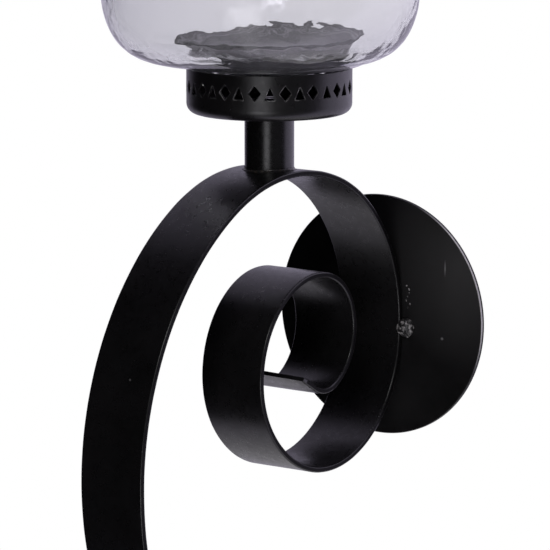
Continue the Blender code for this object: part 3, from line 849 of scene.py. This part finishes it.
def ripple(place, inside):
    """How far the blown surface stands proud at that place, inside or outside the glass.

    Broad patches lie all over, small crinkles mostly low on the side, upright streaks on the side
    and rings round the base.  The inside also has small hollows.
    """
    radius = math.hypot(place.x, place.y)
    base = 1 - smooth_step(place.z, 8 * MM, 24 * MM)
    band = smooth_step(place.z, 6 * MM, 16 * MM) * (1 - 0.6 * smooth_step(place.z, 30 * MM, 60 * MM))
    aside = abs(place.x * THICK_SIDE.x + place.y * THICK_SIDE.y) / max(radius, MM)
    wide = Vector((place.x, place.y, 2.6 * place.z))
    close = Vector((place.x, place.y, 1.5 * place.z))
    upright = Vector((place.x, place.y, 0.12 * place.z))
    angle = math.atan2(place.y, place.x)
    around = Vector((math.cos(angle) * 40 * MM, math.sin(angle) * 40 * MM, 0))
    patches = relief(PATCHES, wide, 11 if inside else 23)
    crinkle_size = (CRINKLES[0] - CRINKLES_ASIDE * aside, CRINKLES[1])
    crinkles = relief(crinkle_size, close, 31 if inside else 37) * band
    streaks = relief(STREAKS, upright, 41 if inside else 43) * (1 - base)
    rings = relief(RINGS, around + Z * (radius + place.z) * 4.5, 53 if inside else 59) * base
    total = patches + crinkles + streaks + rings
    if not inside:
        return 0.6 * total
    depth, width = HOLLOWS
    return total - depth * max(0.0, waver(close, width, 61) - HOLLOW_START) * band * (1 - aside)


def make_globe(material):
    """Globe that leans a little, with a wall thicker on one side and rippled faces."""
    outline, outer_count = globe_outline()
    globe, rows = turned(outline, 300)
    globe.normal_update()
    bmesh.ops.recalc_face_normals(globe, faces=globe.faces)
    moves = []
    for index, row in enumerate(rows):
        inside = index >= outer_count
        for vertex in row:
            place = vertex.co
            radius = math.hypot(place.x, place.y)
            lean = smooth_step(radius, GLOBE_BASE_RADIUS, GLOBE_BELLY_RADIUS)
            move = GLOBE_LEAN * lean
            if inside:
                move = move - THICK_SIDE * THICK_EXTRA * smooth_step(place.z, 12 * MM, 40 * MM)
            near_axis = smooth_step(radius, 0, 12 * MM)
            seat = 1.0 if inside else smooth_step(radius, 42 * MM, 50 * MM)
            move = move + vertex.normal * ripple(place, inside) * near_axis * seat
            moves.append((vertex, move))
    for vertex, move in moves:
        vertex.co += move
    place = Vector((STEM_AXIS.x, STEM_AXIS.y, GLOBE_LOW.z))
    make_piece("blown_globe", globe, material, "globe", ["glass_globe"], place, 180)


# ---------------------------------------------------------------- candle pan

def make_pan(material):
    """Shallow dish with a flared side, a rolled rim and slight dents."""
    flare = math.atan2(PAN_DEPTH, PAN_RADIUS - PAN_FLOOR_RADIUS)
    inward = PAN_THICKNESS / math.tan(flare / 2 + math.pi / 4)
    rim_r = PAN_RADIUS - PAN_RIM_RADIUS
    rim_z = PAN_DEPTH - PAN_RIM_RADIUS
    under = 2.2 * MM
    outline = rounded([
        (0, 0, 0), (PAN_FLOOR_RADIUS, 0, 1.6 * MM), (rim_r - under, rim_z - 0.9 * MM, 0.5 * MM),
        (rim_r, rim_z - 0.9 * MM, 0),
    ], 6)
    for i in range(13):
        turn = math.radians(-70 + 250 * i / 12)
        edge = Vector((math.cos(turn), math.sin(turn))) * PAN_RIM_RADIUS
        outline.append(Vector((rim_r, rim_z)) + edge)
    outline += rounded([
        (rim_r - PAN_RIM_RADIUS, rim_z - 0.3 * MM, 0), (PAN_FLOOR_RADIUS - inward, PAN_THICKNESS, 1.2 * MM),
        (0, PAN_THICKNESS, 0),
    ], 6)
    pan, _ = turned(outline, 200)
    for vertex in pan.verts:
        reach = math.hypot(vertex.co.x, vertex.co.y) / PAN_RADIUS
        vertex.co.z += 0.25 * MM * waver(vertex.co, 26 * MM, 4) * reach * reach
    place = Vector((STEM_AXIS.x, STEM_AXIS.y, PAN_LOW.z))
    make_piece("pan_dish", pan, material, "pan", ["candle_pan"], place, 50)


# ---------------------------------------------------------------- welds on the plate

def make_plate_weld(name, node, side, material):
    """Lump of weld in the corner between the bar's edge and the plate."""
    low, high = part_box(node)
    lump = bmesh.new()
    bmesh.ops.create_icosphere(lump, subdivisions=5, radius=1)
    for vertex in lump.verts:
        point = vertex.co.copy()
        swell = 1 + 0.16 * waver(point, 0.55, 2 + side) + 0.07 * waver(point, 0.22, 9 + side)
        vertex.co = point * BEAD_SIZE * swell
    middle = (low + high) / 2
    place = Vector((middle.x - side * BEAD_SINK, PLATE_FACE_Y - BEAD_STAND, middle.z))
    make_piece(name, lump, material, "sconce", [node], place, 80)


def make_spatter(material):
    """Drops of weld metal that froze onto the plate above the near weld."""
    drops = bmesh.new()
    for index in range(SPATTER_DROPS):
        size = SPATTER_SIZE * (0.7 + 0.6 * waver(Vector((index, 0, 0)), 1.7, 3))
        aside = 3.0 * MM * waver(Vector((index, 1, 0)), 1.3, 4)
        rise = SPATTER_RUN * index / (SPATTER_DROPS - 1)
        place = Vector((SPATTER_X + aside, PLATE_FACE_Y - 0.2 * size, SPATTER_LOW + rise))
        shape = Matrix.Translation(place) @ Matrix.Diagonal((1, 0.6, 1.3, 1))
        bmesh.ops.create_icosphere(drops, subdivisions=3, radius=size, matrix=shape)
    for vertex in drops.verts:
        vertex.co += vertex.normal * 0.12 * MM * waver(vertex.co, 0.6 * MM, 6)
    make_piece("weld_spatter", drops, material, "sconce", ["plate_weld_right"], sharp=80)


# ---------------------------------------------------------------- camera, light and floor

CAMERA_TARGET = Vector((-26.83, -61.48, 26.93)) * MM
CAMERA_AZIMUTH = 35.733
CAMERA_ELEVATION = 9.776
CAMERA_DISTANCE = 1.801
CAMERA_LENS = 223.69
PAPER_COLOR = (0.96, 0.885, 1.14)
WINDOW_AZIMUTH = 24.0
WINDOW_LEVEL = 3.3
WINDOW_COLOR = (0.98, 0.97, 1.02)
GLOW_AZIMUTH = 72.0
GLOW_LEVEL = 0.09
CLEARED_COLOR = (0.98, 0.97, 1.0)   # what is seen through the glass
FLOOR_RADIUS = 0.37
FLOOR_CENTRE_Y = 50.0 * MM
FLOOR_DROP = 50.0 * MM              # how far the floor lies below the arm


def make_camera():
    """Long lens that looks at the arm and the cup from the front right, a little from above."""
    back = towards(CAMERA_AZIMUTH, CAMERA_ELEVATION)
    data = bpy.data.cameras.new("camera")
    data.lens = CAMERA_LENS
    data.sensor_width = 36
    camera = bpy.data.objects.new("camera", data)
    bpy.context.scene.collection.objects.link(camera)
    camera.location = CAMERA_TARGET + back * CAMERA_DISTANCE
    camera.rotation_mode = "QUATERNION"
    camera.rotation_quaternion = (-back).to_track_quat("-Z", "Y")
    bpy.context.scene.camera = camera


def make_world():
    """White paper behind and below, and a dark room in front with a low window and a faint glow."""
    world = bpy.data.worlds.new("studio")
    bpy.context.scene.world = world
    nodes = Nodes(world)
    nodes.tree.nodes.clear()
    way = nodes.add("ShaderNodeTexCoord").outputs["Generated"]
    split = nodes.add("ShaderNodeSeparateXYZ")
    nodes.link(way, split.inputs["Vector"])
    x, y, z = (split.outputs[axis] for axis in "XYZ")

    # the paper sweeps from under the object up behind it and forward over it, dimmer towards -X
    curl = nodes.math("MULTIPLY", nodes.math("MULTIPLY", z, z), 0.64)
    lean = nodes.math("MULTIPLY", z, 0.2)
    sweep = nodes.math("SUBTRACT", nodes.math("ADD", y, curl), lean)
    sweep = nodes.math("SUBTRACT", sweep, nodes.math("MULTIPLY", x, 0.09))
    paper = nodes.remap(sweep, 0.17, 0.55, 0, 1, smooth=True)
    ray = nodes.add("ShaderNodeLightPath")
    level = nodes.remap(x, -0.9, 0.8, 0.42, 1.15)
    level = nodes.math("MAXIMUM", level, nodes.math("MULTIPLY", ray.outputs["Is Diffuse Ray"], 1.1))
    paper_light = nodes.blend(nodes.math("MULTIPLY", paper, level), (0, 0, 0), PAPER_COLOR)

    # the window is a band of azimuth from just under the horizon down, the glow a wider upright one
    azimuth = nodes.math("ARCTAN2", x, nodes.math("MULTIPLY", y, -1))
    aside = nodes.math("ABSOLUTE", nodes.math("SUBTRACT", azimuth, math.radians(WINDOW_AZIMUTH)), 0)
    band = nodes.remap(aside, math.radians(18), math.radians(5), 0, 1, smooth=True)
    window = nodes.math("MULTIPLY", band, nodes.remap(z, -0.05, -0.17, 0.08, 1, smooth=True))
    window = nodes.math("MULTIPLY", window, nodes.remap(z, -0.35, -0.65, 1, 0.25, smooth=True))
    aside = nodes.math("ABSOLUTE", nodes.math("SUBTRACT", azimuth, math.radians(GLOW_AZIMUTH)), 0)
    glow = nodes.remap(aside, math.radians(40), math.radians(10), 0, GLOW_LEVEL, smooth=True)
    front = nodes.math("ADD", nodes.math("MULTIPLY", window, WINDOW_LEVEL), glow)
    front_light = nodes.blend(front, (0, 0, 0), WINDOW_COLOR)
    front_light.node.clamp_factor = False
    both = nodes.add("ShaderNodeMix", data_type="RGBA", blend_type="ADD")
    both.inputs["Factor"].default_value = 1
    nodes.link(paper_light, both.inputs["A"])
    nodes.link(front_light, both.inputs["B"])

    # white for whatever is seen straight or through the glass
    seen = nodes.add("ShaderNodeBackground")
    seen.inputs["Color"].default_value = (1, 1, 1, 1)
    lit = nodes.add("ShaderNodeBackground")
    cleared = nodes.blend(ray.outputs["Is Transmission Ray"], both.outputs["Result"], CLEARED_COLOR)
    cleared.node.clamp_factor = False
    nodes.link(cleared, lit.inputs["Color"])
    choose = nodes.add("ShaderNodeMixShader")
    nodes.link(ray.outputs["Is Camera Ray"], choose.inputs["Fac"])
    nodes.link(lit.outputs["Background"], choose.inputs[1])
    nodes.link(seen.outputs["Background"], choose.inputs[2])
    nodes.link(choose.outputs["Shader"], nodes.add("ShaderNodeOutputWorld").inputs["Surface"])
    bpy.context.scene.view_settings.view_transform = "Standard"


def make_lamp(name, azimuth, elevation, distance, size, power):
    """Square soft box aimed at the globe's foot."""
    data = bpy.data.lights.new(name, "AREA")
    data.size = size
    data.energy = power
    lamp = bpy.data.objects.new(name, data)
    bpy.context.scene.collection.objects.link(lamp)
    way = towards(azimuth, elevation)
    lamp.location = Vector((STEM_AXIS.x, STEM_AXIS.y, CUP_HIGH.z)) + way * distance
    lamp.rotation_mode = "QUATERNION"
    lamp.rotation_quaternion = (-way).to_track_quat("-Z", "Y")


def make_floor():
    """Round pale table top that fades out at its rim."""
    mesh_data = bmesh.new()
    bmesh.ops.create_circle(mesh_data, cap_ends=True, segments=96, radius=FLOOR_RADIUS)
    mesh = bpy.data.meshes.new("floor")
    mesh_data.to_mesh(mesh)
    mesh_data.free()
    floor = bpy.data.objects.new("floor", mesh)
    bpy.context.scene.collection.objects.link(floor)
    floor.location = (STEM_AXIS.x, FLOOR_CENTRE_Y, ARM_LOW.z - FLOOR_DROP)
    nodes = Nodes(bpy.data.materials.new("floor_paper"))
    nodes.shader.inputs["Roughness"].default_value = 0.8
    fibre = nodes.noise(60, 3, 0.6)
    color = nodes.blend(fibre, (0.78, 0.81, 0.68), (0.84, 0.87, 0.73))
    nodes.link(color, nodes.shader.inputs["Base Color"])
    length = nodes.add("ShaderNodeVectorMath", operation="LENGTH")
    nodes.link(nodes.place, length.inputs[0])
    fade = nodes.remap(length.outputs["Value"], FLOOR_RADIUS * 0.27, FLOOR_RADIUS, 1, 0, smooth=True)
    nodes.link(fade, nodes.shader.inputs["Alpha"])
    nodes.shader.inputs["Emission Color"].default_value = (0.96, 0.945, 0.98, 1)
    nodes.shader.inputs["Emission Strength"].default_value = 0.38
    mesh.materials.append(nodes.owner)


# ---------------------------------------------------------------- the whole scene

def main():
    make_camera()
    make_world()
    make_lamp("key_box", azimuth=26, elevation=34, distance=1.4, size=0.34, power=3.0)
    make_floor()
    make_plate(plate_paint())
    make_bar(bar_paint())
    weld = weld_paint("weld_paint_glossy", WELD_FLECK)
    make_plate_weld("weld_near", "plate_weld_right", 1, weld)
    make_plate_weld("weld_far", "plate_weld_left", -1, weld)
    make_spatter(weld)
    make_stem(satin_paint("stem_paint_satin", BLACK, 0.25, grain=0.3))
    make_foot_weld(weld_paint("foot_weld_paint", FOOT_WELD_FLECK))
    make_cup(cup_paint())
    make_globe(smoke_glass())
    make_pan(pan_paint())
    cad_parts["stem_plug"].data.materials[0] = bright_metal("plug_turned", (0.30, 0.29, 0.28), 0.38)
    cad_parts["cup_washer"].data.materials[0] = bright_metal("washer_zinc", (0.55, 0.55, 0.52), 0.3)
    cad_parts["cup_screw"].data.materials[0] = bright_metal("screw_zinc", (0.58, 0.57, 0.54), 0.24)


main()
